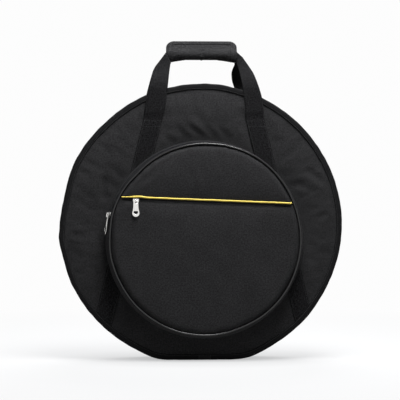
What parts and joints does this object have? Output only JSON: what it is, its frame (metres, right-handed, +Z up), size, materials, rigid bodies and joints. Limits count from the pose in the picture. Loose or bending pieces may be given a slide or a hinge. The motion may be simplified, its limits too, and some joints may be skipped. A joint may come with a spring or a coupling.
{
  "type": "cymbal bag",
  "caption": "Round padded cymbal bag that stands on its rim, with a zip round the side, a round zipped front pocket, a yellow piped line and two webbing handles joined in a grip.",
  "frame": {"origin": "middle of the bag's box at floor level, under the pressed flat stretch of the rim", "axes": "+Z up to the carrying grip, -Y towards the front pocket, +X to the right seen from the front"},
  "size_m": [0.58, 0.1298, 0.656],
  "materials": {
    "shell_fabric": "matte",
    "foam": "matte",
    "lining": "satin",
    "binding_tape": "matte",
    "webbing": "satin",
    "zip_tape": "matte",
    "hook_and_loop": "matte",
    "black_piping": "gloss",
    "yellow_piping": "satin",
    "nickel": "polished"
  },
  "bodies": {
    "case": {"rear_panel_cover": "shell_fabric", "rear_panel_foam": "foam", "rear_panel_lining": "lining", "rear_rim_binding": "binding_tape", "rear_strap_left": "webbing", "rear_strap_right": "webbing", "gusset_wall": "shell_fabric", "gusset_base": "shell_fabric", "main_zip_rear_tape": "zip_tape", "main_zip_end_tab_left": "webbing", "main_zip_end_tab_right": "webbing"},
    "lid": {"front_panel_cover": "shell_fabric", "front_panel_foam": "foam", "front_panel_lining": "lining", "front_rim_binding": "binding_tape", "binding_join_tab": "binding_tape", "front_strap_left": "webbing", "front_strap_right": "webbing", "lid_skirt": "shell_fabric", "main_zip_front_tape": "zip_tape", "pocket_face_lower": "shell_fabric", "pocket_piping_lower": "black_piping", "pocket_wall_lower": "shell_fabric", "pocket_wall_upper": "shell_fabric", "pocket_zip_rear_tape": "zip_tape", "pocket_zip_end_tab_left": "webbing", "pocket_zip_end_tab_right": "webbing"},
    "pocket_flap": {"flap_face_upper": "shell_fabric", "flap_face_lower": "shell_fabric", "flap_side_band": "shell_fabric", "pocket_piping_upper": "black_piping", "pocket_zip_front_tape": "zip_tape", "yellow_piping": "yellow_piping", "face_zip_upper_tape": "zip_tape", "face_zip_lower_tape": "zip_tape", "flap_inner_bag": "lining"},
    "front_handle": {"front_handle_webbing": "webbing", "front_grip_pad": "shell_fabric", "front_grip_binding": "binding_tape", "front_grip_hook_strip": "hook_and_loop"},
    "rear_handle": {"rear_handle_webbing": "webbing", "rear_grip_pad": "shell_fabric", "rear_grip_binding": "binding_tape", "rear_grip_loop_strip": "hook_and_loop"},
    "main_slider_left": {"main_slider_left": "nickel"},
    "main_puller_left": {"main_puller_left": "nickel"},
    "main_slider_right": {"main_slider_right": "nickel"},
    "main_puller_right": {"main_puller_right": "nickel"},
    "pocket_slider": {"pocket_slider": "nickel"},
    "pocket_puller": {"pocket_puller": "nickel"},
    "face_slider": {"face_slider": "nickel"},
    "face_puller": {"face_puller": "nickel"}
  },
  "joints": [
    {"name": "lid_hinge", "type": "hinge", "parent": "case", "child": "lid", "pos_m": [0, -0.02145, 0], "axis": [1, 0, 0], "range_deg": [0, 90]},
    {"name": "pocket_flap_fold", "type": "hinge", "parent": "lid", "child": "pocket_flap", "pos_m": [0.006, -0.06015, 0.274], "axis": [1, 0, 0], "range_deg": [0, 120]},
    {"name": "front_handle_swing", "type": "hinge", "parent": "lid", "child": "front_handle", "pos_m": [0.006, -0.02205, 0.496], "axis": [1, 0, 0], "range_deg": [0, 120]},
    {"name": "rear_handle_swing", "type": "hinge", "parent": "case", "child": "rear_handle", "pos_m": [0.006, 0.06315, 0.496], "axis": [-1, 0, 0], "range_deg": [0, 165]},
    {"name": "main_slider_left_travel", "type": "hinge", "parent": "case", "child": "main_slider_left", "pos_m": [0, 0.00755, 0.277], "axis": [0, -1, 0], "range_deg": [0, 144]},
    {"name": "main_puller_left_swing", "type": "hinge", "parent": "main_slider_left", "child": "main_puller_left", "pos_m": [-0.0204, 0.00755, 0.56157], "axis": [0, 1, 0], "range_deg": [0, 140]},
    {"name": "main_slider_right_travel", "type": "hinge", "parent": "case", "child": "main_slider_right", "pos_m": [0, 0.00755, 0.277], "axis": [0, 1, 0], "range_deg": [0, 149]},
    {"name": "main_puller_right_swing", "type": "hinge", "parent": "main_slider_right", "child": "main_puller_right", "pos_m": [-0.00498, 0.00755, 0.56226], "axis": [0, -1, 0], "range_deg": [0, 140]},
    {"name": "pocket_slider_travel", "type": "hinge", "parent": "lid", "child": "pocket_slider", "pos_m": [0.006, -0.04165, 0.248], "axis": [0, 1, 0], "range_deg": [-4, 155]},
    {"name": "pocket_puller_swing", "type": "hinge", "parent": "pocket_slider", "child": "pocket_puller", "pos_m": [-0.19153, -0.04315, 0.29945], "axis": [-0.2684, 0.9608, 0.0699], "range_deg": [0, 165]},
    {"name": "face_slider_travel", "type": "slide", "parent": "pocket_flap", "child": "face_slider", "axis": [0.9992, 0, -0.0401], "range_m": [0, 0.29]},
    {"name": "face_puller_swing", "type": "hinge", "parent": "face_slider", "child": "face_puller", "pos_m": [-0.13456, -0.06235, 0.32901], "axis": [-1, 0, 0], "range_deg": [0, 160]}
  ]
}
